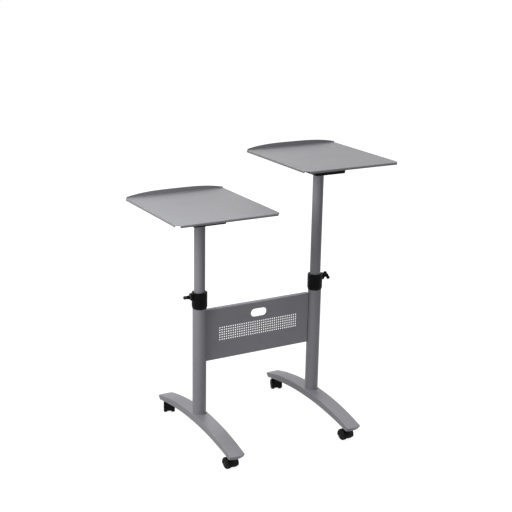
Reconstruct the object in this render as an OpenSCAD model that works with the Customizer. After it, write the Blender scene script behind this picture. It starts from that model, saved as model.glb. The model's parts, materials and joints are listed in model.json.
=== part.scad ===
// Mobile presentation table: two telescopic posts on arched castor feet, joined by a
// perforated folded panel. Each post carries its own tilting tray with a raised stop lip.
// X runs along the panel, the viewer's side is -Y, the presenter's side (stop lips) is +Y.

/* [Posts] */
// Distance between the two post axes
post_spacing = 484; // [460:2:600]
// Outside diameter of the fixed lower tube
lower_tube_d = 50; // [46:1:60]
// Wall of the lower tube
lower_tube_wall = 2; // [1.5:0.5:3]
// Outside diameter of the sliding upper tube
upper_tube_d = 40; // [34:1:42]
// Wall of the upper tube
upper_tube_wall = 1.5; // [1:0.5:2.5]
// Length of each upper tube
upper_tube_length = 540; // [500:10:600]
// Height of the top end of the lower tubes above the floor
lower_tube_top = 566; // [540:2:620]

/* [Trays] */
// Width of a tray along the panel
tray_w = 390; // [340:5:420]
// Depth of a tray between its front and rear folds
tray_d = 420; // [360:5:460]
// How far the tray sits towards the viewer's side of its post
tray_offset = 17; // [0:1:40]
// Sheet thickness of a tray
tray_sheet = 2; // [1.5:0.5:3]
// Height of the turned-down edges
tray_edge_h = 8; // [6:1:16]
// Height of the stop lip at its middle
lip_h = 18; // [12:1:40]
// Height of the stop lip at its two ends
lip_end_h = 4; // [3.6:0.2:8]
// Clipped front corner, measured along the panel
corner_clip_x = 13; // [8:1:20]
// Clipped front corner, measured front to back
corner_clip_y = 17; // [8:1:24]
// Height of the left tray above the floor
left_tray_height = 892; // [740:2:1040]
// Height of the right tray above the floor
right_tray_height = 1024; // [740:2:1040]

/* [Tilt bracket] */
// Width of the bracket's open underside
bracket_w = 124; // [104:2:140]
// Depth of the bracket's open underside
bracket_d = 168; // [120:2:180]
// Depth from the tray's top face to the bracket's lower edge
bracket_drop = 56; // [50:1:64]
// How much the bracket walls splay outwards towards the tray
bracket_splay = 6; // [3:1:9]
// Sheet thickness of the bracket
bracket_sheet = 2; // [1.5:0.5:3]
// Depth from the tray's top face to the pivot bolt
pivot_drop = 34; // [30:1:38]
// Diameter of the pivot bolt
pivot_d = 10; // [8:1:12]
// Diameter of the cross barrel on the post head
barrel_d = 24; // [20:1:28]

/* [Feet] */
// Length of a foot from tip to tip
foot_length = 600; // [560:4:700]
// Height of the top of a foot under its post
foot_crown = 108; // [104:1:120]
// Radius of the arch of a foot's top face
foot_arch_r = 1100; // [1050:10:2000]
// Radius of the arch of a foot's underside
foot_under_r = 1420; // [1300:10:2400]
// Width of a foot's top face
foot_top_w = 58; // [54:1:70]
// Width of a foot's underside
foot_bottom_w = 54; // [44:1:58]
// Thickness of a foot under its post
foot_thick = 28; // [24:1:32]
// Plan radius of a foot's rounded ends
foot_end_r = 75; // [60:1:100]
// How far a foot's ends are cut back underneath
foot_undercut = 13; // [8:1:16]

/* [Panel] */
// Height of the panel's lower edge above the floor
panel_bottom = 305; // [200:5:340]
// Height of the panel itself
panel_h = 195; // [180:5:200]
// Sheet thickness of the panel
panel_sheet = 1.5; // [1:0.5:3]
// Depth of the panel's folded edges
panel_fold = 20; // [12:1:24]
// Length of the hand slot
slot_w = 65; // [50:1:120]
// Height of the hand slot
slot_h = 30; // [24:1:34]
// Distance of the slot's middle below the panel's top edge
slot_drop = 40; // [32:1:44]
// Diameter of one perforation
hole_d = 5; // [3:0.5:6]
// Distance between perforations
hole_pitch = 9.15; // [8:0.05:10]
// Columns of perforations
hole_columns = 36; // [12:1:38]
// Rows of perforations
hole_rows = 6; // [2:1:8]
// Distance of the uppermost row below the panel's top edge
hole_drop = 75; // [70:1:90]

/* [Clamp collars] */
// Outside diameter of a collar
collar_d = 56; // [54:1:64]
// Height of a collar
collar_h = 60; // [50:1:70]
// How far a collar stands above the lower tube
collar_cap = 8; // [6:1:12]
// Height of the bevel at a collar's lower end
collar_bevel = 7; // [4:1:10]
// Diameter of the clamp screw
screw_d = 8; // [6:1:8]
// Distance from the post axis to the middle of the T handle
handle_reach = 54; // [50:1:64]
// Length of the T handle
handle_length = 38; // [30:1:44]
// Thickness of the T handle
handle_d = 9; // [7:0.5:11]

/* [Castors] */
// Distance of each castor stem from the post axis, front to back
castor_reach = 258; // [240:1:262]
// Diameter of a castor wheel
wheel_d = 40; // [36:1:42]
// Width of one of the twin wheels
wheel_w = 14; // [10:1:16]
// Thickness of the web between the twin wheels
web_t = 13; // [8:1:16]
// How far the wheels trail behind the stem
castor_trail = 13; // [11:1:15]
// Diameter of a castor stem
stem_d = 8; // [6:1:10]

/* [Hidden] */
$fn = 64;

silver = "#b4b6bc";
black = "#1d1d1f";
zinc = "#c9cbd0";

run_gap = 0.1;       // radial clearance of a sliding or turning fit
seat_gap = 0.05;     // clearance of pieces that are fixed together
rest_gap = 0.3;      // clearance between bodies that only meet face to face
cut = 1;             // overshoot of a cutting solid

post_x = post_spacing / 2;
lower_r = lower_tube_d / 2;
upper_r = upper_tube_d / 2;
fold_r = 1.5;                                  // inside radius of a sheet fold

arch_z = foot_crown - foot_arch_r;             // centre heights of the foot's two arches
under_z = foot_crown - foot_thick - foot_under_r;
function arch_top(y) = arch_z + sqrt(foot_arch_r * foot_arch_r - y * y);
function arch_under(y) = under_z + sqrt(foot_under_r * foot_under_r - y * y);
foot_end_y = foot_length / 2 - foot_end_r;     // centre of a foot's rounded end
castor_seat_d = 22;                            // pad under the foot that holds the castor
castor_seat_h = 4;
castor_seat_z = arch_under(castor_reach) - castor_seat_h;
stem_skin = 6;                                 // metal left above the stem's bore
stem_top = arch_top(castor_reach) - stem_skin - cut;
stem_boss_d = 18;
stem_boss_base = 4;                            // height of the boss's foot above the axle
stem_root = 14;                                // length of stem held in the hood

collar_top = lower_tube_top + collar_cap;
collar_bottom = collar_top - collar_h;
collar_rim = 0.6;                              // thickness of the collar's lower rim
collar_edge = 1.5;                             // bevel at the collar's top
screw_drop = 14;
screw_z = collar_top - screw_drop;
boss_w = 18;                                   // screw block on the collar
boss_h = 24;
boss_reach = collar_d / 2 + 9;
hub_d = 14;
hub_length = 16;

panel_top = panel_bottom + panel_h;
panel_w = post_spacing - lower_tube_d - 2 * rest_gap;
panel_front = 2;                               // face stands this far before the post axes
panel_notch = 4;                               // relief where the folds meet
slot_z = panel_top - slot_drop;
hole_top = panel_top - hole_drop;

glide_h = 30;
glide_lip = 4;
head_socket_d = upper_tube_d + 6;
head_socket_h = 26;
head_cap = 3;                                  // end wall over the tube
pivot_boss_d = 20;
bolt_head_d = 18;
bolt_head_h = 6;
bracket_top = tray_sheet;                      // depth of the bracket's top below the tray
bracket_depth = bracket_drop - bracket_top;
barrel_length = bracket_w - 2 * bracket_sheet - 2;
boss_gap = 1.5;                                // bolt boss to the end of the barrel
bolt_seat = bracket_w / 2 + bracket_splay + 2; // half distance between the bolt's seats

wheel_gap = 1.2;                               // wheel to hood and to web
hood_t = 1.8;
hood_r = wheel_d / 2 + wheel_gap + hood_t;
castor_w = web_t + 2 * (wheel_gap + wheel_w);
axle_d = 6;
hub_r = 9;                                     // raised middle of a wheel
dish = 2;                                      // depth of the dished wheel face
rim_t = 6;                                     // width of the rim around the dish
tread_edge = 1.5;                              // bevel of the tread
hood_cut = 8;                                  // how far the hood ends above the axle

tray_front = -tray_offset - tray_d / 2;
tray_rear = -tray_offset + tray_d / 2;

left_castor_turn = [5, -24];                   // front, rear
right_castor_turn = [6, -20];

// Mirrors its children for the left-hand post, so that outward is always +X
module on_post(side) {
    translate([side * post_x, 0, 0])
        mirror([side < 0 ? 1 : 0, 0, 0]) children();
}

module tube(d, wall, z0, z1) {
    translate([0, 0, z0]) difference() {
        cylinder(d = d, h = z1 - z0);
        translate([0, 0, -cut]) cylinder(d = d - 2 * wall, h = z1 - z0 + 2 * cut);
    }
}

// Rod along X from x0 to x1
module rod_x(d, x0, x1) {
    translate([x0, 0, 0]) rotate([0, 90, 0]) cylinder(d = d, h = x1 - x0);
}

// Arch about an axis along X, as a solid cylinder wider than the foot
module arch_cylinder(r, z) {
    translate([0, 0, z]) rotate([0, 90, 0])
        cylinder(r = r, h = foot_top_w + 2 * lower_tube_d, center = true, $fn = 360);
}

// Foot: a bar bent to an arch, thinner towards its rounded, undercut ends
module foot_arch() {
    sweep = 2 * asin(foot_length / 2 / (foot_arch_r - foot_thick)) + 2;
    depth = foot_thick + cut;
    low_w = foot_top_w - (foot_top_w - foot_bottom_w) * depth / foot_thick;
    difference() {
        translate([0, 0, arch_z]) rotate([0, 90, 0]) rotate([0, 0, 180 - sweep / 2])
            rotate_extrude(angle = sweep, $fn = 360) polygon([
                [foot_arch_r - depth, -low_w / 2], [foot_arch_r, -foot_top_w / 2],
                [foot_arch_r, foot_top_w / 2], [foot_arch_r - depth, low_w / 2]]);
        arch_cylinder(foot_under_r, under_z);
    }
}

// Outline of the foot from above: straight sides and round ends that lean in downwards
module foot_plan() {
    end_top = arch_top(foot_length / 2);
    low = arch_under(foot_length / 2) - cut;
    high = foot_crown + cut;
    straight = foot_end_y + foot_end_r / 3;
    slope = foot_undercut / (end_top - arch_under(foot_length / 2));
    translate([-foot_top_w / 2 - cut, -straight, low])
        cube([foot_top_w + 2 * cut, 2 * straight, high - low]);
    for (s = [-1, 1]) translate([0, s * foot_end_y, low])
        cylinder(r1 = foot_end_r - slope * (end_top - low),
                 r2 = foot_end_r + slope * (high - end_top), h = high - low);
}

module foot() {
    color(silver) difference() {
        union() {
            intersection() {
                foot_arch();
                foot_plan();
            }
            for (s = [-1, 1]) translate([0, s * castor_reach, castor_seat_z])
                cylinder(d = castor_seat_d, h = castor_seat_h + foot_thick / 2);
        }
        for (s = [-1, 1]) translate([0, s * castor_reach, castor_seat_z - cut])
            cylinder(d = stem_d + 2 * run_gap, h = stem_top - castor_seat_z + 2 * cut);
    }
}

// Lower tube: stands on the crown of the foot, cut to its arch
module lower_tube() {
    color(silver) difference() {
        tube(lower_tube_d, lower_tube_wall, foot_crown - 4 * cut, lower_tube_top);
        arch_cylinder(foot_arch_r, arch_z);
        translate([0, 0, screw_z]) rod_x(screw_d + 2 * rest_gap, 0, lower_tube_d);
    }
}

// Clamp collar: bevelled sleeve over the lower tube with a screw block on its outer side
module collar() {
    grip_r = upper_r + run_gap;
    sleeve_r = lower_r + seat_gap;
    collar_r = collar_d / 2;
    color(black) difference() {
        union() {
            rotate_extrude() polygon([
                [sleeve_r, collar_bottom], [sleeve_r + collar_rim, collar_bottom],
                [collar_r, collar_bottom + collar_bevel], [collar_r, collar_top - collar_edge],
                [collar_r - collar_edge / 2, collar_top], [grip_r, collar_top],
                [grip_r, lower_tube_top + seat_gap], [sleeve_r, lower_tube_top + seat_gap]]);
            difference() {
                translate([0, -boss_w / 2, screw_z - boss_h / 2])
                    cube([boss_reach, boss_w, boss_h]);
                translate([0, 0, screw_z - boss_h])
                    cylinder(r = sleeve_r + collar_rim, h = 2 * boss_h);
            }
        }
        translate([0, 0, screw_z]) rod_x(screw_d + 2 * run_gap, 0, boss_reach + cut);
    }
}

module clamp_screw() {
    color(zinc) translate([0, 0, screw_z]) rod_x(screw_d, upper_r + rest_gap, handle_reach);
}

// T handle on the clamp screw: hub and round bar
module clamp_handle(turn) {
    color(black) translate([0, 0, screw_z]) rotate([turn, 0, 0]) difference() {
        union() {
            rod_x(hub_d, handle_reach - hub_length, handle_reach + handle_d / 2);
            translate([handle_reach, 0, 0]) {
                cylinder(d = handle_d, h = handle_length - handle_d, center = true);
                for (s = [-1, 1]) translate([0, 0, s * (handle_length - handle_d) / 2])
                    sphere(d = handle_d, $fn = 32);
            }
        }
        rod_x(screw_d + 2 * seat_gap, handle_reach - hub_length - cut, handle_reach + seat_gap);
    }
}

// Perforated panel: one sheet with folded edges, a hand slot and a grid of holes
module panel_sheet_body() {
    half = panel_w / 2;
    y0 = -panel_front;
    ro = fold_r + panel_sheet;
    translate([-half + ro, y0, panel_bottom + ro])
        cube([panel_w - 2 * ro, panel_sheet, panel_h - 2 * ro]);
    for (s = [-1, 1]) {
        z_edge = s > 0 ? panel_top : panel_bottom;
        translate([0, y0, z_edge]) mirror([0, 0, s > 0 ? 0 : 1])
            panel_edge(panel_w - 2 * ro - 2 * panel_notch);
        translate([s * half, y0, (panel_top + panel_bottom) / 2]) rotate([0, s * 90, 0])
            panel_edge(panel_h - 2 * ro - 2 * panel_notch);
    }
}

// One fold of the panel: quarter bend and leg, running along X with its outer face at z = 0
module panel_edge(length) {
    ro = fold_r + panel_sheet;
    translate([-length / 2, 0, 0]) rotate([90, 0, 90]) linear_extrude(length) {
        translate([ro, -ro]) intersection() {
            difference() {
                circle(r = ro);
                circle(r = fold_r);
            }
            translate([-ro, 0]) square(ro);
        }
        translate([ro, -panel_sheet]) square([panel_fold - ro, panel_sheet]);
    }
}

module panel() {
    color(silver) difference() {
        panel_sheet_body();
        translate([0, -panel_front - cut, slot_z]) rotate([-90, 0, 0])
            linear_extrude(panel_sheet + 2 * cut) {
                square([slot_w - slot_h, slot_h], center = true);
                for (s = [-1, 1]) translate([s * (slot_w - slot_h) / 2, 0]) circle(d = slot_h);
            }
        for (column = [0 : hole_columns - 1], row = [0 : hole_rows - 1])
            translate([(column - (hole_columns - 1) / 2) * hole_pitch, -panel_front - cut,
                       hole_top - row * hole_pitch])
                rotate([-90, 0, 0]) cylinder(d = hole_d, h = panel_sheet + 2 * cut, $fn = 16);
    }
}

module upper_tube(height) {
    top = height - pivot_drop - barrel_d / 2 - head_cap;
    color(silver) tube(upper_tube_d, upper_tube_wall, top - upper_tube_length, top);
}

// Plastic glide plugged into the lower end of the upper tube
module glide(height) {
    tube_bottom = height - pivot_drop - barrel_d / 2 - head_cap - upper_tube_length;
    color(black) translate([0, 0, tube_bottom]) {
        translate([0, 0, -glide_lip - seat_gap])
            cylinder(r = lower_r - lower_tube_wall - run_gap, h = glide_lip);
        translate([0, 0, -glide_lip - seat_gap])
            cylinder(r = upper_r - upper_tube_wall - seat_gap, h = glide_h);
    }
}

// Post head: socket over the tube with a cross barrel for the pivot bolt
module post_head(height) {
    pivot_z = height - pivot_drop;
    tube_top = pivot_z - barrel_d / 2 - head_cap;
    color(black) difference() {
        union() {
            translate([0, 0, tube_top - head_socket_h + head_cap])
                cylinder(d = head_socket_d, h = pivot_z - tube_top + head_socket_h - head_cap);
            translate([0, 0, pivot_z]) rod_x(barrel_d, -barrel_length / 2, barrel_length / 2);
        }
        translate([0, 0, tube_top - head_socket_h])
            cylinder(r = upper_r + seat_gap, h = head_socket_h + seat_gap);
        translate([0, 0, pivot_z])
            rod_x(pivot_d + 2 * run_gap, -barrel_length, barrel_length);
    }
}

// Splayed box between two depths, built from two crossing trapezoids
module splayed_box(w, d, z_low, z_high, splay) {
    intersection() {
        rotate([90, 0, 0]) linear_extrude(2 * d, center = true) polygon([
            [-w / 2, z_low], [w / 2, z_low], [w / 2 + splay, z_high], [-w / 2 - splay, z_high]]);
        rotate([90, 0, 90]) linear_extrude(2 * w, center = true) polygon([
            [-d / 2, z_low], [d / 2, z_low], [d / 2 + splay, z_high], [-d / 2 - splay, z_high]]);
    }
}

// Bracket: pressed pan under the tray, open below, with a boss for the bolt in each cheek
module bracket(height) {
    top = height - bracket_top;
    low = height - bracket_drop;
    slope = bracket_splay / bracket_depth;
    t = bracket_sheet;
    color(black) difference() {
        union() {
            difference() {
                splayed_box(bracket_w, bracket_d, low, top, bracket_splay);
                splayed_box(bracket_w - 2 * t - 2 * slope * cut, bracket_d - 2 * t - 2 * slope * cut,
                            low - cut, top - t, bracket_splay - slope * (t - cut));
            }
            for (s = [-1, 1]) translate([0, 0, height - pivot_drop]) mirror([s < 0 ? 1 : 0, 0, 0])
                rod_x(pivot_boss_d, barrel_length / 2 + boss_gap, bolt_seat);
        }
        translate([0, 0, height - pivot_drop])
            rod_x(pivot_d + 2 * seat_gap, -bolt_seat - cut, bolt_seat + cut);
    }
}

module pivot_bolt(height) {
    seat = bolt_seat + seat_gap;
    color(zinc) translate([0, 0, height - pivot_drop]) {
        rod_x(pivot_d, -seat - bolt_head_h, seat + bolt_head_h);
        for (s = [-1, 1]) mirror([s < 0 ? 1 : 0, 0, 0]) translate([seat, 0, 0])
            rotate([0, 90, 0]) cylinder(d = bolt_head_d, h = bolt_head_h, $fn = 6);
    }
}

// Tray: sheet with turned-down edges, clipped front corners and an arched stop lip
module fold_profile(leg) {
    ro = fold_r + tray_sheet;
    translate([-ro, -ro]) intersection() {
        difference() {
            circle(r = ro);
            circle(r = fold_r);
        }
        square(ro);
    }
    translate([-tray_sheet, -leg]) square([tray_sheet, leg - ro]);
}

lip_power = 3.2;                               // how late the lip's top edge falls away
lip_steps = 24;
function lip_z(x) = lip_end_h + (lip_h - lip_end_h)
    * (1 - pow(abs(x) / (tray_w / 2 - fold_r - tray_sheet), lip_power));

module tray(height) {
    ro = fold_r + tray_sheet;
    half = tray_w / 2;
    side_from = tray_front + corner_clip_y;
    side_to = tray_rear - ro;
    lip_half = half - ro;
    clip_y = tray_front + corner_clip_y * (1 - ro / corner_clip_x);
    color(silver) translate([0, 0, height]) {
        // flat sheet between the folds
        translate([0, 0, -tray_sheet]) linear_extrude(tray_sheet) polygon([
            [-half + ro, tray_rear - ro], [-half + ro, clip_y],
            [-half + corner_clip_x, tray_front + ro], [half - corner_clip_x, tray_front + ro],
            [half - ro, clip_y], [half - ro, tray_rear - ro]]);
        // turned-down front edge
        translate([half - corner_clip_x, tray_front, 0]) rotate([90, 0, -90])
            linear_extrude(tray_w - 2 * corner_clip_x) fold_profile(tray_edge_h);
        // turned-down side edges
        for (s = [-1, 1]) mirror([s < 0 ? 1 : 0, 0, 0]) translate([half, side_to, 0])
            rotate([90, 0, 0]) linear_extrude(side_to - side_from) fold_profile(tray_edge_h);
        // stop lip, folded up at the rear
        translate([0, tray_rear, 0]) {
            translate([-lip_half, -ro, ro - tray_sheet]) rotate([90, 0, 90])
                linear_extrude(2 * lip_half) intersection() {
                    difference() {
                        circle(r = ro);
                        circle(r = fold_r);
                    }
                    translate([0, -ro]) square(ro);
                }
            rotate([90, 0, 0]) linear_extrude(tray_sheet) polygon(concat(
                [[lip_half, ro - tray_sheet], [-lip_half, ro - tray_sheet]],
                [for (i = [0 : lip_steps]) let (x = lip_half * (2 * i / lip_steps - 1))
                    [x, lip_z(x)]]));
        }
    }
}

// Castor: hood with web and stem boss, trailing its wheels towards +Y
module at_castor(side, end, turn) {
    translate([side * post_x, end * castor_reach, 0]) rotate([0, 0, turn]) children();
}

module hood() {
    axle_z = wheel_d / 2;
    boss_top = castor_seat_z - rest_gap;
    color(black) difference() {
        union() {
            translate([0, castor_trail, axle_z]) rotate([0, 90, 0]) intersection() {
                union() {
                    difference() {
                        cylinder(r = hood_r, h = castor_w, center = true);
                        cylinder(r = hood_r - hood_t, h = castor_w + 2 * cut, center = true);
                    }
                    cylinder(r = hood_r - hood_t / 2, h = web_t, center = true);
                }
                translate([hood_cut - 2 * hood_r, -hood_r - cut, -castor_w])
                    cube([2 * hood_r, 2 * hood_r + 2 * cut, 2 * castor_w]);
            }
            translate([0, 0, axle_z + stem_boss_base])
                cylinder(d = stem_boss_d, h = boss_top - axle_z - stem_boss_base);
        }
        for (s = [-1, 1]) translate([s * (web_t / 2 + wheel_gap + wheel_w / 2), castor_trail, axle_z])
            rotate([0, 90, 0]) cylinder(r = hood_r - hood_t, h = wheel_w + 2 * wheel_gap, center = true);
        translate([0, 0, boss_top - stem_root])
            cylinder(d = stem_d + 2 * seat_gap, h = stem_root + 2 * cut);
        translate([0, castor_trail, axle_z]) rod_x(axle_d + 2 * run_gap, -castor_w, castor_w);
    }
}

module stem() {
    boss_top = castor_seat_z - rest_gap;
    color(zinc) translate([0, 0, boss_top - stem_root + seat_gap])
        cylinder(d = stem_d, h = stem_top - boss_top + stem_root);
}

module wheels() {
    tread_r = wheel_d / 2;
    color(black) translate([0, castor_trail, wheel_d / 2])
        for (s = [-1, 1]) mirror([s < 0 ? 1 : 0, 0, 0])
            translate([web_t / 2 + wheel_gap, 0, 0]) rotate([0, 90, 0]) rotate_extrude() {
                bore_r = axle_d / 2 + seat_gap;
                polygon([
                    [bore_r, 0], [tread_r - tread_edge, 0], [tread_r, tread_edge],
                    [tread_r, wheel_w - tread_edge], [tread_r - tread_edge, wheel_w],
                    [tread_r - rim_t, wheel_w], [tread_r - rim_t, wheel_w - dish],
                    [hub_r, wheel_w - dish], [hub_r, wheel_w], [bore_r, wheel_w]]);
            }
}

module axle() {
    color(zinc) translate([0, castor_trail, wheel_d / 2]) rod_x(axle_d, -castor_w / 2, castor_w / 2);
}

on_post(-1) foot();  // left_foot
on_post(1) foot();  // right_foot
on_post(-1) lower_tube();  // left_lower_tube
on_post(1) lower_tube();  // right_lower_tube
panel();
on_post(-1) collar();  // left_collar
on_post(1) collar();  // right_collar
on_post(-1) clamp_screw();  // left_clamp_screw
on_post(1) clamp_screw();  // right_clamp_screw
on_post(-1) clamp_handle(71);  // left_clamp_handle
on_post(1) clamp_handle(-60);  // right_clamp_handle
on_post(-1) upper_tube(left_tray_height);  // left_upper_tube
on_post(1) upper_tube(right_tray_height);  // right_upper_tube
on_post(-1) glide(left_tray_height);  // left_glide
on_post(1) glide(right_tray_height);  // right_glide
on_post(-1) post_head(left_tray_height);  // left_post_head
on_post(1) post_head(right_tray_height);  // right_post_head
on_post(-1) bracket(left_tray_height);  // left_bracket
on_post(1) bracket(right_tray_height);  // right_bracket
on_post(-1) pivot_bolt(left_tray_height);  // left_pivot_bolt
on_post(1) pivot_bolt(right_tray_height);  // right_pivot_bolt
on_post(-1) tray(left_tray_height);  // left_tray
on_post(1) tray(right_tray_height);  // right_tray
at_castor(-1, -1, left_castor_turn[0]) hood();  // front_left_hood
at_castor(1, -1, right_castor_turn[0]) hood();  // front_right_hood
at_castor(-1, 1, left_castor_turn[1]) hood();  // rear_left_hood
at_castor(1, 1, right_castor_turn[1]) hood();  // rear_right_hood
at_castor(-1, -1, left_castor_turn[0]) stem();  // front_left_stem
at_castor(1, -1, right_castor_turn[0]) stem();  // front_right_stem
at_castor(-1, 1, left_castor_turn[1]) stem();  // rear_left_stem
at_castor(1, 1, right_castor_turn[1]) stem();  // rear_right_stem
at_castor(-1, -1, left_castor_turn[0]) wheels();  // front_left_wheels
at_castor(1, -1, right_castor_turn[0]) wheels();  // front_right_wheels
at_castor(-1, 1, left_castor_turn[1]) wheels();  // rear_left_wheels
at_castor(1, 1, right_castor_turn[1]) wheels();  // rear_right_wheels
at_castor(-1, -1, left_castor_turn[0]) axle();  // front_left_axle
at_castor(1, -1, right_castor_turn[0]) axle();  // front_right_axle
at_castor(-1, 1, left_castor_turn[1]) axle();  // rear_left_axle
at_castor(1, 1, right_castor_turn[1]) axle();  // rear_right_axle
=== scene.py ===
import json
import math
import random

import bmesh
import bpy
from mathutils import Matrix, Vector


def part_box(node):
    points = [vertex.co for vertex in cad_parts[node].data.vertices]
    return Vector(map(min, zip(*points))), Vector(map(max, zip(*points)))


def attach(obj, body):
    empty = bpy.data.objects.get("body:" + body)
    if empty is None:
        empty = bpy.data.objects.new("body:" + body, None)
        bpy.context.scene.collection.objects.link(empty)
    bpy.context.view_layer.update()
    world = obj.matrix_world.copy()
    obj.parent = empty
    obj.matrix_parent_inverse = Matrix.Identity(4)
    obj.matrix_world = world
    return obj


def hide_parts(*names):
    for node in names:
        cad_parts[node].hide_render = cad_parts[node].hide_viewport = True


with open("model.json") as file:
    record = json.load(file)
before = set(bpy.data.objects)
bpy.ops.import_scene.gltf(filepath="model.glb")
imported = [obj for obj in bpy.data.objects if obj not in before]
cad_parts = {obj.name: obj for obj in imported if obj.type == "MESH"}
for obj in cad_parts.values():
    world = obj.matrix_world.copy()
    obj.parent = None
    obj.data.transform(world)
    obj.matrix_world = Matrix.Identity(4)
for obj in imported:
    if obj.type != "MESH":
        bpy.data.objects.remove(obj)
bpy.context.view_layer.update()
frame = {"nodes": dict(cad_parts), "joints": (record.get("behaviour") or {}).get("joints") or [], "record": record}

# ---------------------------------------------------------------- sizes, in metres
SIDES = {"left": -1, "right": 1}
ENDS = {"front": -1, "rear": 1}
JOINTS = {joint["name"]: joint for joint in frame["joints"]}
MOUNTS = {mount["name"]: mount["pos_m"] for mount in frame["record"]["mounts"]}
SLOT_OF = {row["node"]: row["material_slot"] for row in frame["record"]["subparts"]}

POST_X = MOUNTS["right_tray_face"][0]
TRAY_TOP = {side: MOUNTS[side + "_tray_face"][2] for side in SIDES}
TUBE_R = 0.025                # fixed lower tube
UPPER_R = 0.020               # sliding upper tube
RUN_GAP, SEAT_GAP = 0.0001, 0.00005          # clearance of moving fits and of seated ones
POST_BEAD, HEAD_BEAD, PANEL_BEAD = 0.0018, 0.0016, 0.0014      # radii of the weld beads
PANEL_BREAK, TRAY_BREAK = 0.0003, 0.0005     # broken edges of the sheets

FOOT_CROWN, FOOT_T = 0.108, 0.028
FOOT_TOP_R, FOOT_UNDER_R = 1.100, 1.420      # arches of the foot's top and underside
FOOT_TOP_HALF, FOOT_LOW_HALF = 0.029, 0.027
FOOT_END_R, FOOT_UNDERCUT = 0.075, 0.013
FOOT_EDGE, FOOT_LOW_EDGE = 0.0022, 0.0014    # edge radii at the top face and at the underside
FOOT_CORNER = 0.0006                         # break of the upright corners at the ends
FOOT_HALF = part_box("left_foot")[1][1]
FOOT_END_Y = FOOT_HALF - FOOT_END_R
SEAT_R, SEAT_H = 0.011, 0.004                # pad under the foot that holds a castor

PANEL_LOW, PANEL_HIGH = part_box("panel")[0][2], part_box("panel")[1][2]
PANEL_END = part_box("panel")[1][0]
PANEL_FACE, PANEL_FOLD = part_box("panel")[0][1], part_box("panel")[1][1]
PANEL_SHEET, PANEL_BEND = 0.0015, 0.003      # sheet, outer radius of its folds
PANEL_WELD, PANEL_WELD_END = 0.030, 0.012    # length of a weld, distance of the outer ones from the edge

COLLAR_LOW, COLLAR_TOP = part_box("left_collar")[0][2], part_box("left_collar")[1][2]
COLLAR_R, COLLAR_CAP = 0.028, 0.008
SCREW_Z = JOINTS["left_clamp_turn"]["pos_m"][2]
SCREW_R, MOUTH_R = 0.004, 0.0042
BLOCK_W, BLOCK_H, BLOCK_REACH = 0.018, 0.0245, 0.037
HANDLE_TURN = {"left": 71, "right": -60}     # how the T handles stand, in degrees about X
HANDLE_REACH, HANDLE_HALF, HANDLE_R = 0.054, 0.019, 0.0045

PIVOT_R, BARREL_R, BARREL_HALF = 0.005, 0.012, 0.059
SOCKET_R = 0.023
BRACKET_W, BRACKET_D, BRACKET_DROP, BRACKET_SPLAY = 0.124, 0.168, 0.056, 0.006
SHEET = 0.002                 # trays and brackets
TRAY_SCREW_X, TRAY_SCREW_Y = 0.045, 0.062
BOLT_SEAT = 0.070             # half distance between the faces that the pivot bolt clamps

WHEEL_R, WHEEL_W, WHEEL_GAP, WEB_HALF = 0.020, 0.014, 0.0012, 0.0065
HOOD_R, HOOD_T, HOOD_CUT = 0.0230, 0.0018, 0.008
CASTOR_HALF = WEB_HALF + WHEEL_GAP + WHEEL_W
WHEEL_RIBS = 5

FLOOR_HALF, FLOOR_SHADE = 20, 0.26
FLOOR_GLOW, GLOW_NEAR, GLOW_FAR = 0.93, 0.9, 3.0     # share of white near the table, and its reach


# ---------------------------------------------------------------- node helpers
class Nodes:
    """A material's node tree with one line per node."""

    def __init__(self, name):
        self.material = bpy.data.materials.new(name)
        self.material.use_nodes = True
        self.tree = self.material.node_tree
        self.shader = self.tree.nodes["Principled BSDF"]

    def add(self, kind, inputs=None, **settings):
        node = self.tree.nodes.new(kind)
        for key, value in settings.items():
            setattr(node, key, value)
        for key, value in (inputs or {}).items():
            self.feed(node.inputs[key], value)
        return node

    def feed(self, socket, value):
        if isinstance(value, bpy.types.NodeSocket):
            self.tree.links.new(value, socket)
        else:
            socket.default_value = value

    def set(self, **values):
        for key, value in values.items():
            self.feed(self.shader.inputs[key.replace("_", " ")], value)

    def place(self, scale=(1, 1, 1)):
        coords = self.add("ShaderNodeTexCoord")
        return self.add("ShaderNodeMapping", {"Vector": coords.outputs["Object"], "Scale": scale}).outputs[0]

    def noise(self, where, scale, detail=4.0, rough=0.55):
        return self.add("ShaderNodeTexNoise", {
            "Vector": where, "Scale": scale, "Detail": detail, "Roughness": rough}).outputs["Fac"]

    def span(self, fac, low, high, from_low=0.3, from_high=0.7):
        return self.add("ShaderNodeMapRange", {
            "Value": fac, "From Min": from_low, "From Max": from_high,
            "To Min": low, "To Max": high}).outputs["Result"]

    def mix(self, fac, a, b):
        node = self.add("ShaderNodeMix", {}, data_type="RGBA")
        self.feed(node.inputs[0], fac)
        self.feed(node.inputs[6], a if isinstance(a, bpy.types.NodeSocket) else (*a, 1))
        self.feed(node.inputs[7], b if isinstance(b, bpy.types.NodeSocket) else (*b, 1))
        return node.outputs[2]

    def bump(self, height, strength, distance, normal=None):
        inputs = {"Height": height, "Strength": strength, "Distance": distance}
        if normal is not None:
            inputs["Normal"] = normal
        return self.add("ShaderNodeBump", inputs).outputs["Normal"]


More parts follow.
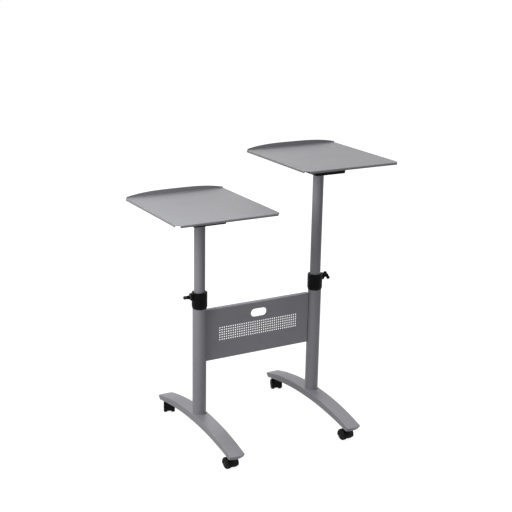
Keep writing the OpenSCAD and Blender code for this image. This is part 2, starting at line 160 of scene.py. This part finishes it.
# ---------------------------------------------------------------- materials
def powder_coat(name, colour, flake, roughness, metallic, specular, peel=0.25):
    """Satin powder coat: fine orange peel, faint metal flake, cloudy gloss and a few hairline rubs."""
    n = Nodes(name)
    where = n.place()
    cloud = n.noise(where, 5, 2, 0.4)
    grain = n.noise(where, 1100, 2, 0.6)
    skin = n.noise(where, 420, 3, 0.5)
    rubs = n.noise(n.place((14, 420, 420)), 1.0, 4, 0.7)
    tint = n.mix(n.span(grain, 0, 1, 0.42, 0.62), colour, flake)
    shade = n.mix(n.span(cloud, 0, 0.25), tint, [c * 0.94 for c in colour])
    n.set(Base_Color=shade, Metallic=metallic, Specular_IOR_Level=specular,
          Roughness=n.span(cloud, roughness - 0.02, roughness + 0.02),
          Normal=n.bump(rubs, peel * 0.12, 0.00003, n.bump(skin, peel * 0.7, 0.0001)))
    return n.material


def moulded(name, colour, roughness, specular, grain_scale=700, strength=0.2):
    """Moulded plastic: fine spark-eroded grain, uneven gloss and faint grey scuffs."""
    n = Nodes(name)
    where = n.place()
    grain = n.noise(where, grain_scale, 4, 0.6)
    scuff = n.noise(where, 38, 5, 0.65)
    tint = n.mix(n.span(scuff, 0, 0.6, 0.5, 0.75), colour, [c * 1.8 + 0.002 for c in colour])
    n.set(Base_Color=tint, Roughness=n.span(scuff, roughness - 0.05, roughness + 0.1),
          Specular_IOR_Level=specular, Normal=n.bump(grain, strength, 0.00015))
    return n.material


def rubber(name, colour, dust_colour):
    """Castor tread: dull black with floor dust in soft patches."""
    n = Nodes(name)
    where = n.place()
    dust = n.noise(where, 130, 5, 0.7)
    grit = n.noise(where, 1200, 2)
    tint = n.mix(n.span(dust, 0, 1, 0.55, 0.85), colour, dust_colour)
    n.set(Base_Color=tint, Roughness=n.span(dust, 0.5, 0.72), Specular_IOR_Level=0.2,
          Normal=n.bump(grit, 0.25, 0.0002))
    return n.material


def zinc_plate(name):
    """Zinc-plated steel: bright, with fine turning marks and cloudy passivation."""
    n = Nodes(name)
    where = n.place()
    marks = n.noise(n.place((60, 60, 900)), 3, 3, 0.6)
    cloud = n.noise(where, 90, 3)
    tint = n.mix(n.span(cloud, 0, 1), (0.5, 0.51, 0.53), (0.62, 0.62, 0.6))
    n.set(Base_Color=tint, Metallic=1.0, Roughness=n.span(cloud, 0.26, 0.42),
          Normal=n.bump(marks, 0.15, 0.0001))
    return n.material


MATERIALS = {
    "grey_paint": powder_coat("silver_powder_coat", (0.266, 0.264, 0.292), (0.362, 0.360, 0.386),
                              roughness=0.44, metallic=0.1, specular=0.25),
    # same silver powder coat as the stand, written darker: painted shade that holds the trays down under the top
    # and rear lamps
    "tray_paint": powder_coat("tray_powder_coat", (0.190, 0.190, 0.204), (0.260, 0.261, 0.273),
                              roughness=0.42, metallic=0.1, specular=0.25),
    "black_paint": powder_coat("black_powder_coat", (0.0025, 0.0025, 0.003), (0.006, 0.006, 0.0065),
                               roughness=0.5, metallic=0.0, specular=0.07, peel=0.4),
    "black_plastic": moulded("black_moulded_plastic", (0.0025, 0.0025, 0.003),
                             roughness=0.42, specular=0.07),
    "castor_plastic": moulded("castor_moulded_nylon", (0.0022, 0.0022, 0.0026),
                              roughness=0.36, specular=0.09, grain_scale=500, strength=0.12),
    "castor_tread": rubber("castor_tread_rubber", (0.0025, 0.0025, 0.003), (0.006, 0.0058, 0.0056)),
    "zinc": zinc_plate("zinc_plated_steel"),
}


def dress_cad_nodes():
    for node, obj in frame["nodes"].items():
        obj.data.materials.clear()
        obj.data.materials.append(MATERIALS[SLOT_OF[node]])


# ---------------------------------------------------------------- mesh helpers
def make_piece(name, build, body, slot, replaces=(), bevel=0.0, angle=35.0):
    """Turns a bmesh into a smooth-shaded piece that rides on a body."""
    bmesh.ops.remove_doubles(build, verts=build.verts, dist=1e-6)
    loose = [edge for edge in build.edges if not edge.link_faces]
    bmesh.ops.delete(build, geom=loose, context="EDGES")
    bmesh.ops.recalc_face_normals(build, faces=build.faces)
    mesh = bpy.data.meshes.new(name)
    build.to_mesh(mesh)
    build.free()
    mesh.shade_smooth()
    mesh.set_sharp_from_angle(angle=math.radians(angle))
    mesh.materials.append(MATERIALS[slot])
    piece = bpy.data.objects.new(name, mesh)
    bpy.context.scene.collection.objects.link(piece)
    if bevel:
        rounding = piece.modifiers.new("rounding", "BEVEL")
        rounding.width = bevel
        rounding.segments = 2
        rounding.limit_method = "ANGLE"
        rounding.angle_limit = math.radians(angle)
        rounding.harden_normals = True
    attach(piece, body)
    if replaces:
        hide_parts(*replaces)


def cad_copy(node):
    build = bmesh.new()
    build.from_mesh(frame["nodes"][node].data)
    bmesh.ops.remove_doubles(build, verts=build.verts, dist=1e-6)
    return build


def merge_flats(build):
    bmesh.ops.dissolve_limit(build, angle_limit=math.radians(0.4), verts=build.verts, edges=build.edges)


def soften(node, body, width, angle):
    """A copy of a CAD node with its sharp sheet edges broken."""
    build = cad_copy(node)
    merge_flats(build)
    make_piece(node + "_finished", build, body, SLOT_OF[node], (node,), width, angle)


def skin(build, rings, closed=False, seam=True):
    """Quads between rings of points: a closed loop of rings, or flat caps at both ends.
    Without the seam, the last point of a ring isn't joined to its first."""
    rows = [[build.verts.new(point) for point in ring] for ring in rings]
    pairs = list(zip(rows, rows[1:])) + ([(rows[-1], rows[0])] if closed else [])
    for a, b in pairs:
        for i in range(len(a) if seam else len(a) - 1):
            j = (i + 1) % len(a)
            build.faces.new((a[i], a[j], b[j], b[i]))
    if not closed:
        build.faces.new(rows[0][::-1])
        build.faces.new(rows[-1])


def circle(radius, height, steps):
    turns = [2 * math.pi * i / steps for i in range(steps)]
    return [Vector((radius * math.cos(a), radius * math.sin(a), height)) for a in turns]


def lathe(build, profile, place, steps=48, closed=True):
    """Turns a profile of (radius, height) points about the z axis of a placement."""
    skin(build, [[place @ point for point in circle(radius, height, steps)]
                 for radius, height in profile], closed)


def arc(cx, cy, radius, start, stop, steps):
    """Points of an arc in a plane, angles in degrees."""
    turns = [math.radians(start + (stop - start) * i / steps) for i in range(steps + 1)]
    return [(cx + radius * math.cos(a), cy + radius * math.sin(a)) for a in turns]


def rounded_rect(width, depth, radius, steps=5):
    points = []
    for sx, sy, start in ((1, 1, 0), (-1, 1, 90), (-1, -1, 180), (1, -1, 270)):
        points += arc(sx * (width / 2 - radius), sy * (depth / 2 - radius), radius, start, start + 90, steps)
    return points


def facing_x(x, y, z, sign):
    """Placement whose z axis points along +X or -X."""
    return Matrix.Translation((x, y, z)) @ Matrix.Rotation(math.radians(90 * sign), 4, "Y")


def weld_bead(build, path, radius, dice, closed=False):
    """A rippled bead: path gives (centre, outward direction, second direction) along it."""
    rings = []
    for i, (centre, out, side) in enumerate(path):
        wave = 1 + 0.14 * math.sin(i * 1.9) + 0.05 * dice.uniform(-1, 1)
        if not closed:
            wave *= min(1.0, 0.35 + 0.65 * min(i, len(path) - 1 - i) / 3)
        rings.append([centre + radius * wave * (out * math.cos(t) + side * math.sin(t))
                      for t in (2 * math.pi * k / 8 for k in range(8))])
    skin(build, rings, closed)


# ---------------------------------------------------------------- feet
def arch_top(y):
    return FOOT_CROWN - FOOT_TOP_R + math.sqrt(FOOT_TOP_R ** 2 - y * y)


def arch_under(y):
    return FOOT_CROWN - FOOT_T - FOOT_UNDER_R + math.sqrt(FOOT_UNDER_R ** 2 - y * y)


UNDERCUT_SLOPE = FOOT_UNDERCUT / (arch_top(FOOT_HALF) - arch_under(FOOT_HALF))


def foot_half_loop(depth_at, inset, end_steps=10, side_steps=56):
    """Points from the rear tip along the +X side to the front tip, at a depth below the top face."""
    def tip(share):
        y = FOOT_HALF
        for _ in range(5):            # depth and undercut depend on y, so this settles
            depth = depth_at(y)
            drop = arch_top(FOOT_HALF) - (arch_top(y) - depth)
            radius = FOOT_END_R - inset - UNDERCUT_SLOPE * drop
            angle = share * math.asin(half_width(depth) / radius)
            y = FOOT_END_Y + radius * math.cos(angle)
        return Vector((radius * math.sin(angle), y, arch_top(y) - depth))

    def half_width(depth):
        return FOOT_TOP_HALF - inset - (FOOT_TOP_HALF - FOOT_LOW_HALF) * depth / FOOT_T

    rear = [tip(i / end_steps) for i in range(end_steps + 1)]
    front = [Vector((p.x, -p.y, p.z)) for p in reversed(rear)]
    corner = rear[-1].y
    side = []
    for i in range(1, side_steps):
        y = corner - 2 * corner * i / side_steps
        side.append(Vector((half_width(depth_at(y)), y, arch_top(y) - depth_at(y))))
    return rear + side + front


def foot_layers():
    """(depth function, inset) of each loop, from the underside to the top face."""
    layers = []
    for degrees in (0, 30, 60, 90):
        a = math.radians(degrees)
        lift = FOOT_LOW_EDGE * (1 - math.cos(a))
        inset = FOOT_LOW_EDGE * (1 - math.sin(a))
        layers.append((lambda y, lift=lift: arch_top(y) - arch_under(y) - lift, inset))
    for degrees in (90, 68, 45, 22, 0):
        a = math.radians(degrees)
        depth = FOOT_EDGE * (1 - math.cos(a))
        layers.append((lambda y, depth=depth: depth, FOOT_EDGE * (1 - math.sin(a))))
    return layers


def make_foot(side):
    build = bmesh.new()
    offset = Vector((SIDES[side] * POST_X, 0, 0))
    rows = []
    for depth_at, inset in foot_layers():
        half = foot_half_loop(depth_at, inset)
        mirrored = [Vector((-p.x, p.y, p.z)) for p in half[-2:0:-1]]
        rows.append([build.verts.new(p + offset) for p in half + mirrored])
    count = len(rows[0])
    for low, high in zip(rows, rows[1:]):
        for i in range(count):
            j = (i + 1) % count
            build.faces.new((low[i], low[j], high[j], high[i]))
    for row in (rows[0], rows[-1]):                 # rungs between the two long sides
        for i in range(count // 2):
            rung = [row[i], row[i + 1], row[-i - 1], row[-i]]
            build.faces.new(list(dict.fromkeys(rung)))
    reach = abs(JOINTS["front_left_swivel"]["pos_m"][1])
    pad_low = arch_under(reach) - SEAT_H
    for end in ENDS.values():
        pad = [(SCREW_R, pad_low), (SEAT_R - 0.0008, pad_low), (SEAT_R, pad_low + 0.0008),
               (SEAT_R, pad_low + 3 * SEAT_H), (SCREW_R, pad_low + 3 * SEAT_H)]
        lathe(build, pad, Matrix.Translation(offset + Vector((0, end * reach, 0))), 40)
    make_piece(side + "_foot_bar", build, "stand", "grey_paint", (side + "_foot",), FOOT_CORNER, 50)


def make_post_weld(side):
    """Bead round the lower tube where it stands on the foot."""
    build = bmesh.new()
    up = Vector((0, 0, 1))
    path, steps = [], 160
    for i in range(steps):
        a = 2 * math.pi * i / steps
        out = Vector((math.cos(a), math.sin(a), 0))
        y = TUBE_R * math.sin(a)
        path.append((Vector((SIDES[side] * POST_X, 0, arch_top(y))) + TUBE_R * out, out, up))
    weld_bead(build, path, POST_BEAD, random.Random(7), closed=True)
    make_piece(side + "_post_weld", build, "stand", "grey_paint", angle=80)


# ---------------------------------------------------------------- panel
def flat_of_panel():
    """The CAD node's perforated sheet without its folds and the end faces between them."""
    build = cad_copy("panel")
    reach = Vector((PANEL_END - PANEL_BEND, 0, (PANEL_HIGH - PANEL_LOW) / 2 - PANEL_BEND))
    centre = Vector((0, 0, (PANEL_LOW + PANEL_HIGH) / 2))
    near = 1e-5

    def off_the_flat(spots, k):
        beyond = any(abs(spot[k]) > reach[k] + near for spot in spots)
        return beyond or all(abs(abs(spot[k]) - reach[k]) < near for spot in spots)

    folds = []
    for face in build.faces:
        spots = [vert.co - centre for vert in face.verts]
        if off_the_flat(spots, 0) or off_the_flat(spots, 2):
            folds.append(face)
    bmesh.ops.delete(build, geom=folds, context="FACES")
    merge_flats(build)
    return build


def make_panel():
    """Perforated sheet with one folded rim, closed and ground at its four corners, and its welds."""
    build = flat_of_panel()
    turns = [math.radians(15 * i) for i in range(7)]
    inner, edge, fold = PANEL_BEND - PANEL_SHEET, PANEL_BREAK, PANEL_FACE + PANEL_BEND
    section = [(PANEL_BEND * math.sin(a), fold - PANEL_BEND * math.cos(a)) for a in turns]
    section += [(PANEL_BEND, PANEL_FOLD - edge), (PANEL_BEND - edge, PANEL_FOLD), (inner + edge, PANEL_FOLD),
                (inner, PANEL_FOLD - edge)]
    section += [(inner * math.sin(a), fold - inner * math.cos(a)) for a in reversed(turns)]
    half, middle = (PANEL_HIGH - PANEL_LOW) / 2 - PANEL_BEND, (PANEL_LOW + PANEL_HIGH) / 2
    rings = [[Vector((sx * (PANEL_END - PANEL_BEND + n), y, middle + sz * (half + n))) for n, y in section]
             for sx, sz in ((1, 1), (-1, 1), (-1, -1), (1, -1))]
    skin(build, rings, closed=True, seam=False)
    bmesh.ops.remove_doubles(build, verts=build.verts, dist=2e-5)
    make_piece("panel_finished", build, "stand", "grey_paint", ("panel",), edge, 40)
    lows = (PANEL_LOW + PANEL_WELD_END, middle - PANEL_WELD / 2, PANEL_HIGH - PANEL_WELD_END - PANEL_WELD)
    for side, sign in SIDES.items():
        build = bmesh.new()
        dice = random.Random(11)
        for low in lows:
            path = [(Vector((sign * (PANEL_END + 0.0008), 0.008, low + PANEL_WELD * i / 30)),
                     Vector((1, 0, 0)), Vector((0, 1, 0))) for i in range(31)]
            weld_bead(build, path, PANEL_BEAD, dice)
        make_piece(side + "_panel_welds", build, "stand", "grey_paint", angle=80)


# ---------------------------------------------------------------- clamp collars
def make_collar(side):
    """Sleeve with a rounded rim, and the block that carries the clamp screw."""
    sign = SIDES[side]
    build = bmesh.new()
    sleeve, grip, shoulder = TUBE_R + SEAT_GAP, UPPER_R + RUN_GAP, COLLAR_TOP - COLLAR_CAP
    profile = [(grip, COLLAR_TOP - 0.001), (grip + 0.001, COLLAR_TOP)]
    profile += arc(COLLAR_R - 0.0018, COLLAR_TOP - 0.0018, 0.0018, 90, 0, 5)
    profile += arc(COLLAR_R - 0.0020, COLLAR_LOW + 0.0080, 0.0020, 0, -18, 3)
    profile += [(sleeve + 0.0007, COLLAR_LOW + 0.0003), (sleeve + 0.0005, COLLAR_LOW),
                (sleeve, COLLAR_LOW), (sleeve, shoulder), (grip, shoulder)]
    lathe(build, profile, Matrix.Translation((sign * POST_X, 0, 0)), 96)

    def block_ring(x, share):
        return [Vector((sign * (POST_X + x), y * share, SCREW_Z + z * share)) for y, z in outline]

    def mouth_ring(x):
        shares = [MOUTH_R / math.hypot(y, z) for y, z in outline]
        return [Vector((sign * (POST_X + x), y * share, SCREW_Z + z * share))
                for (y, z), share in zip(outline, shares)]

    outline, root = rounded_rect(BLOCK_W, BLOCK_H, 0.003), TUBE_R + 0.0004
    rings = [block_ring(x, share) for x, share in
             ((root, 1), (BLOCK_REACH - 0.0022, 1), (BLOCK_REACH - 0.0008, 0.97), (BLOCK_REACH, 0.89))]
    skin(build, rings + [mouth_ring(BLOCK_REACH), mouth_ring(root)], closed=True)
    make_piece(side + "_collar_moulding", build, "stand", "black_plastic", (side + "_collar",), angle=40)

    bush = bmesh.new()
    lathe(bush, [(0.0041, 0.030), (0.0041, 0.0374), (0.0056, 0.0374), (0.0060, 0.0370), (0.0060, 0.030)],
          facing_x(sign * POST_X, 0, SCREW_Z, sign), 32)
    make_piece(side + "_screw_bush", bush, "stand", "zinc")


def make_clamp_handle(side):
    """Flared hub and a short bar that swells to a knob at each end."""
    sign = SIDES[side]
    build = bmesh.new()
    start, screw_end = 0.038, 0.0541
    hub = [(SCREW_R, start), (0.0064, start), (0.0071, start + 0.0008), (0.0071, start + 0.004),
           (0.0064, start + 0.007), (0.0060, start + 0.011), (0.0060, HANDLE_REACH), (0.0050, 0.0574),
           (0.0034, 0.0584), (0, 0.0586), (0, screw_end), (SCREW_R, screw_end)]
    lathe(build, hub, facing_x(sign * POST_X, 0, SCREW_Z, sign), 36)
    half, knob, waist, cap, steps = HANDLE_HALF - 0.0006, 0.0066, 0.0056, 0.0056, 32
    bar = [(0, -half)]
    for i in range(1, steps):
        t = half * (2 * i / steps - 1)
        swell = waist + (knob - waist) * min(1.0, abs(t) / (half - cap)) ** 2
        into_cap = max(0.0, abs(t) - (half - cap)) / cap
        bar.append((swell * math.sqrt(1 - into_cap ** 2), t))
    bar.append((0, half))
    centre = POST_X + HANDLE_REACH + HANDLE_R - knob      # keeps the knobs inside the CAD's reach
    turn = Matrix.Rotation(math.radians(HANDLE_TURN[side]), 4, "X")
    lathe(build, bar, Matrix.Translation((sign * centre, 0, SCREW_Z)) @ turn, 32, closed=False)
    make_piece(side + "_handle_moulding", build, side + "_clamp", "black_plastic",
               (side + "_clamp_handle",), angle=60)


# ---------------------------------------------------------------- post heads, brackets, bolts
def make_post_head(side):
    """Socket over the upper tube with its cross barrel and a weld between them."""
    sign = SIDES[side]
    build = bmesh.new()
    low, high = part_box(side + "_post_head")[0][2], JOINTS[side + "_tray_tilt"]["pos_m"][2]
    bore, bolt = UPPER_R + RUN_GAP, PIVOT_R + RUN_GAP
    roof = high - BARREL_R - 0.003
    socket = [(bore, low), (SOCKET_R - 0.0012, low), (SOCKET_R, low + 0.0012), (SOCKET_R, high - 0.003)]
    socket += arc(SOCKET_R - 0.003, high - 0.003, 0.003, 0, 90, 4)[1:] + [(0, high), (0, roof), (bore, roof)]
    lathe(build, socket, Matrix.Translation((sign * POST_X, 0, 0)), 72)
    barrel = [(bolt, -BARREL_HALF), (BARREL_R - 0.001, -BARREL_HALF), (BARREL_R, -BARREL_HALF + 0.001),
              (BARREL_R, BARREL_HALF - 0.001), (BARREL_R - 0.001, BARREL_HALF), (bolt, BARREL_HALF)]
    lathe(build, barrel, facing_x(sign * POST_X, 0, high, 1), 56)
    up = Vector((0, 0, 1))
    path, steps = [], 120
    for i in range(steps):                          # saddle seam where the two round walls meet
        a = 2 * math.pi * i / steps
        out = Vector((math.cos(a), math.sin(a), 0))
        drop = math.sqrt(max(0.0, BARREL_R ** 2 - (SOCKET_R * out.y) ** 2))
        path.append((Vector((sign * POST_X, 0, high - drop)) + SOCKET_R * out, out, up))
    weld_bead(build, path, HEAD_BEAD, random.Random(13), closed=True)
    make_piece(side + "_post_head_weldment", build, side + "_post", "black_paint",
               (side + "_post_head",), angle=40)


def make_bracket(side):
    """Pressed pan with rounded bends and corners, and a boss for the bolt in each cheek."""
    x, pivot_z = SIDES[side] * POST_X, JOINTS[side + "_tray_tilt"]["pos_m"][2]
    top, low = TRAY_TOP[side] - SHEET, TRAY_TOP[side] - BRACKET_DROP
    build = bmesh.new()

    def ring(z, inset, radius):
        grow = BRACKET_SPLAY * (z - low) / (top - low) - inset
        return [Vector((x + px, py, z)) for px, py in
                rounded_rect(BRACKET_W + 2 * grow, BRACKET_D + 2 * grow, radius, 6)]

    bend, inner, corner, inner_corner, edge = 0.004, 0.002, 0.007, 0.005, 0.0005
    rings = []
    for degrees in (90, 70, 50, 30, 15, 0):
        a = math.radians(degrees)
        rings.append(ring(top - bend * (1 - math.sin(a)), bend * (1 - math.cos(a)), corner))
    rings += [ring(low + edge, 0, corner), ring(low, edge, corner - 0.0004),
              ring(low, SHEET - edge, inner_corner + 0.0005), ring(low + edge, SHEET, inner_corner)]
    for degrees in (0, 30, 60, 90):
        a = math.radians(degrees)
        drop, inset = inner * (1 - math.sin(a)), SHEET + inner * (1 - math.cos(a))
        rings.append(ring(top - SHEET - drop, inset, inner_corner))
    skin(build, rings)
    for sign in SIDES.values():
        boss = [(PIVOT_R, 0), (0.0092, 0), (0.0100, -0.0008), (0.0100, -0.0095), (PIVOT_R, -0.0095)]
        lathe(build, boss, facing_x(x + sign * BOLT_SEAT, 0, pivot_z, sign), 48)
    make_piece(side + "_bracket_pressing", build, side + "_tray_unit", "black_paint",
               (side + "_bracket",), angle=40)


def make_tray_screws(side):
    """Pan-head screws under the bracket's ceiling, which hold the tray."""
    build = bmesh.new()
    ceiling = TRAY_TOP[side] - 2 * SHEET
    head = [(0, 0.0014), (0.0014, 0.0014), (0.0018, 0.0029), (0.0036, 0.0027), (0.0050, 0.0018),
            (0.0055, 0.0004), (0.0055, -0.0002), (0, -0.0002)]
    flip = Matrix.Rotation(math.pi, 4, "X")
    for x in (-TRAY_SCREW_X, TRAY_SCREW_X):
        for y in (-TRAY_SCREW_Y, TRAY_SCREW_Y):
            lathe(build, head, Matrix.Translation((SIDES[side] * POST_X + x, y, ceiling)) @ flip, 28)
    make_piece(side + "_tray_screws", build, side + "_tray_unit", "zinc")


def make_pivot_bolt(side):
    """Hexagon head and nut on washers, with the thread's end standing a little proud.
    The shank stops inside the barrel, short of the socket, where nothing shows."""
    x, z = SIDES[side] * POST_X, JOINTS[side + "_tray_tilt"]["pos_m"][2]
    build = bmesh.new()
    seat, washer, washer_r, chamfer = BOLT_SEAT + SEAT_GAP, 0.0011, 0.0099, 0.0003
    head, across = 0.0055, 0.0087               # height above the seat, radius over the corners
    thread, inside = PIVOT_R - RUN_GAP, SOCKET_R + 0.003
    for sign, proud in ((-1, 0.0010), (1, 0.0060)):
        place = facing_x(x + sign * seat, 0, z, sign)
        lathe(build, [(PIVOT_R, 0), (PIVOT_R, washer), (washer_r - chamfer, washer),
                      (washer_r, washer - chamfer), (washer_r, 0)], place, 48)
        rings = []
        for height, share in ((washer, 0.97), (washer + 0.0003, 1.0), (head - 0.0008, 1.0), (head, 0.92)):
            hexagon = arc(0, 0, across * share, 0, 300, 5)
            rings.append([place @ Vector((hx, hy, height)) for hx, hy in hexagon])
        skin(build, rings)
        shank = [(0, inside), (thread, inside), (thread, seat + proud - 0.0004),
                 (thread - 0.0007, seat + proud), (0, seat + proud)]
        lathe(build, shank, facing_x(x, 0, z, sign), 32)
    make_piece(side + "_pivot_bolt_set", build, side + "_tray_unit", "zinc",
               (side + "_pivot_bolt",), angle=30)


# ---------------------------------------------------------------- castors
def castor_places(name):
    """Placements at the stem on the floor, and at the axle with x along it."""
    swivel, roll = JOINTS[name + "_swivel"], JOINTS[name + "_roll"]
    turn = math.atan2(roll["axis"][1], roll["axis"][0])
    heading = Matrix.Rotation(turn, 4, "Z")
    stem = Matrix.Translation((swivel["pos_m"][0], swivel["pos_m"][1], 0)) @ heading
    return stem, Matrix.Translation(roll["pos_m"]) @ heading


def make_hood(name):
    """Rounded shell over both wheels, web between them, and the neck that takes the stem."""
    stem, axle = castor_places(name)
    build = bmesh.new()
    inner, corner, lip = HOOD_R - HOOD_T, 0.0030, (CASTOR_HALF - 0.0006, HOOD_R - 0.0034)
    section = [(-CASTOR_HALF + corner, inner), (-lip[0], lip[1])]
    section += arc(-CASTOR_HALF + corner, HOOD_R - corner, corner, 180, 90, 6)
    section += arc(CASTOR_HALF - corner, HOOD_R - corner, corner, 90, 0, 6)
    section += [lip, (CASTOR_HALF - corner, inner)]
    sweep = math.degrees(math.acos(-HOOD_CUT / HOOD_R))
    rings, steps = [], 60
    for i in range(steps + 1):
        a = math.radians(sweep * (2 * i / steps - 1))
        rings.append([axle @ Vector((x, r * math.sin(a), r * math.cos(a))) for x, r in section])
    skin(build, rings)

    web_r = HOOD_R - HOOD_T / 2
    web_sweep = math.degrees(math.acos(-HOOD_CUT / web_r))
    outline = arc(0, 0, web_r, 90 - web_sweep, 90 + web_sweep, 40)
    cheek = WEB_HALF - 0.0006
    skin(build, [[axle @ Vector((x, y * share, z * share)) for y, z in outline]
                 for x, share in ((-WEB_HALF, 0.985), (-cheek, 1), (cheek, 1), (WEB_HALF, 0.985))])

    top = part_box(name + "_hood")[1][2]
    neck = [(0, 0.028), (0.0128, 0.028), (0.0126, 0.0345), (0.0112, 0.0385), (0.0098, 0.0420),
            (0.0091, 0.0460), (0.0090, top - 0.0008), (0.0082, top), (0.0040, top), (0.0040, top - 0.002),
            (0, top - 0.002)]
    lathe(build, neck, stem, 40)
    make_piece(name + "_hood_moulding", build, name + "_castor", "castor_plastic",
               (name + "_hood",), angle=40)


def make_wheels(name):
    """Twin wheels: rounded tread, dished face with five ribs, raised hub and a cap."""
    axle = castor_places(name)[1]
    build, caps = bmesh.new(), bmesh.new()
    near, far, edge, shoulder = WEB_HALF + WHEEL_GAP, CASTOR_HALF, 0.0022, 0.0048
    rim, hub, dish, bore = WHEEL_R - 0.0058, 0.009, 0.0022, 0.0031
    for sign in SIDES.values():
        spin = axle @ Matrix.Rotation(math.radians(90 * sign), 4, "Y")
        wheel = [(bore, near)] + arc(WHEEL_R - edge, near + edge, edge, -90, 0, 5)
        wheel += arc(WHEEL_R - shoulder, far - shoulder, shoulder, 0, 90, 8)
        wheel += [(rim + 0.0008, far), (rim, far - 0.0006), (rim - 0.0008, far - dish),
                  (hub + 0.0006, far - dish), (hub, far - 0.0008), (hub - 0.0006, far - 0.0003),
                  (bore, far - 0.0003)]
        lathe(build, wheel, spin, 72)
        for k in range(WHEEL_RIBS):
            turned = spin @ Matrix.Rotation(2 * math.pi * k / WHEEL_RIBS, 4, "Z")
            start, stop = hub - 0.0002, rim + 0.0002
            rib = ((start, -0.0008), (stop, -0.0006), (stop, 0.0006), (start, 0.0008))
            skin(build, [[turned @ Vector((x, y * share, far - drop)) for x, y in rib]
                         for drop, share in ((dish + 0.0002, 1.0), (0.0008, 0.7))])
        lathe(caps, [(0, far + 0.0006), (0.0034, far + 0.0005), (0.0060, far), (0.0069, far - 0.0008),
                     (0.0069, far - 0.0020), (0, far - 0.0020)], spin, 40)
    make_piece(name + "_treads", build, name + "_wheel_pair", "castor_tread", (name + "_wheels",), angle=40)
    make_piece(name + "_hub_caps", caps, name + "_wheel_pair", "castor_plastic", angle=40)


# ---------------------------------------------------------------- stage
def seen_white(tree):
    """1 for camera, glossy and transmission rays, which see the white backdrop, else 0."""
    path = tree.nodes.new("ShaderNodeLightPath")
    total = path.outputs["Is Camera Ray"]
    for ray in ("Is Glossy Ray", "Is Transmission Ray"):
        larger = tree.nodes.new("ShaderNodeMath")
        larger.operation = "MAXIMUM"
        tree.links.new(total, larger.inputs[0])
        tree.links.new(path.outputs[ray], larger.inputs[1])
        total = larger.outputs[0]
    return total


def make_floor():
    """Pale floor that melts into the white backdrop and keeps the soft shadow near the castors."""
    n = Nodes("floor_white")
    n.set(Base_Color=(FLOOR_SHADE, FLOOR_SHADE, FLOOR_SHADE, 1), Roughness=0.9, Specular_IOR_Level=0.0)
    coords = n.add("ShaderNodeTexCoord")
    reach = n.add("ShaderNodeVectorMath", {0: coords.outputs["Object"]}, operation="LENGTH")
    glow = n.span(reach.outputs["Value"], FLOOR_GLOW, 1.0, GLOW_NEAR, GLOW_FAR)
    shown = n.add("ShaderNodeMath", {0: glow, 1: seen_white(n.tree)}, operation="MULTIPLY")
    n.set(Emission_Color=(1, 1, 1, 1), Emission_Strength=shown.outputs[0])
    mesh = bpy.data.meshes.new("floor")
    build = bmesh.new()
    bmesh.ops.create_grid(build, x_segments=1, y_segments=1, size=FLOOR_HALF)
    build.to_mesh(mesh)
    build.free()
    mesh.materials.append(n.material)
    floor = bpy.data.objects.new("floor", mesh)
    bpy.context.scene.collection.objects.link(floor)


def make_world(level):
    """White backdrop for the rays that see it, dim light for all others."""
    world = bpy.data.worlds.new("studio")
    bpy.context.scene.world = world
    world.use_nodes = True
    tree = world.node_tree
    background = tree.nodes["Background"]
    strength = tree.nodes.new("ShaderNodeMapRange")
    tree.links.new(seen_white(tree), strength.inputs["Value"])
    strength.inputs["To Min"].default_value = level
    strength.inputs["To Max"].default_value = 1.0
    tree.links.new(strength.outputs["Result"], background.inputs["Strength"])
    background.inputs["Color"].default_value = (1, 1, 1, 1)


def area_light(name, spot, target, size, power):
    """Rectangular lamp that the camera doesn't see."""
    data = bpy.data.lights.new(name, "AREA")
    data.shape = "RECTANGLE"
    data.size, data.size_y = size
    data.energy = power
    lamp = bpy.data.objects.new(name, data)
    lamp.visible_camera = False
    bpy.context.scene.collection.objects.link(lamp)
    lamp.location = spot
    lamp.rotation_euler = (Vector(target) - Vector(spot)).to_track_quat("-Z", "Y").to_euler()


def make_lights():
    area_light("side_light", spot=(-1.4, -0.3, 1.45), target=(0, 0, 0.6), size=(1.0, 1.0), power=18)
    area_light("top_light", spot=(0.4, -2.0, 8.0), target=(0, 0, 0.5), size=(5.0, 5.0), power=290)
    area_light("rear_light", spot=(0.8, 3.2, 4.2), target=(0, 0, 0.3), size=(3.0, 2.0), power=78)


def make_camera():
    """Camera at the pose and focal length fitted to the measured outline points."""
    right = Vector((0.86981, -0.49308, 0.01722))
    up = Vector((0.12769, 0.25869, 0.95748))
    ahead = Vector((0.47657, 0.83063, -0.28798))
    data = bpy.data.cameras.new("camera")
    data.sensor_width = 36.0
    data.lens = 75.91
    data.clip_end = 60
    camera = bpy.data.objects.new("camera", data)
    bpy.context.scene.collection.objects.link(camera)
    pose = Matrix((right, up, -ahead)).transposed().to_4x4()
    pose.translation = (-1.8710, -3.2357, 1.7977)
    camera.matrix_world = pose
    bpy.context.scene.camera = camera


def make_table():
    dress_cad_nodes()
    make_panel()
    for side in SIDES:
        make_foot(side)
        make_post_weld(side)
        make_collar(side)
        make_clamp_handle(side)
        make_post_head(side)
        make_bracket(side)
        make_tray_screws(side)
        make_pivot_bolt(side)
        soften(side + "_tray", side + "_tray_unit", TRAY_BREAK, 40)
        for end in ENDS:
            make_hood(end + "_" + side)
            make_wheels(end + "_" + side)


make_table()
make_floor()
make_world(level=0.12)
make_lights()
make_camera()
bpy.context.scene.view_settings.view_transform = "Standard"
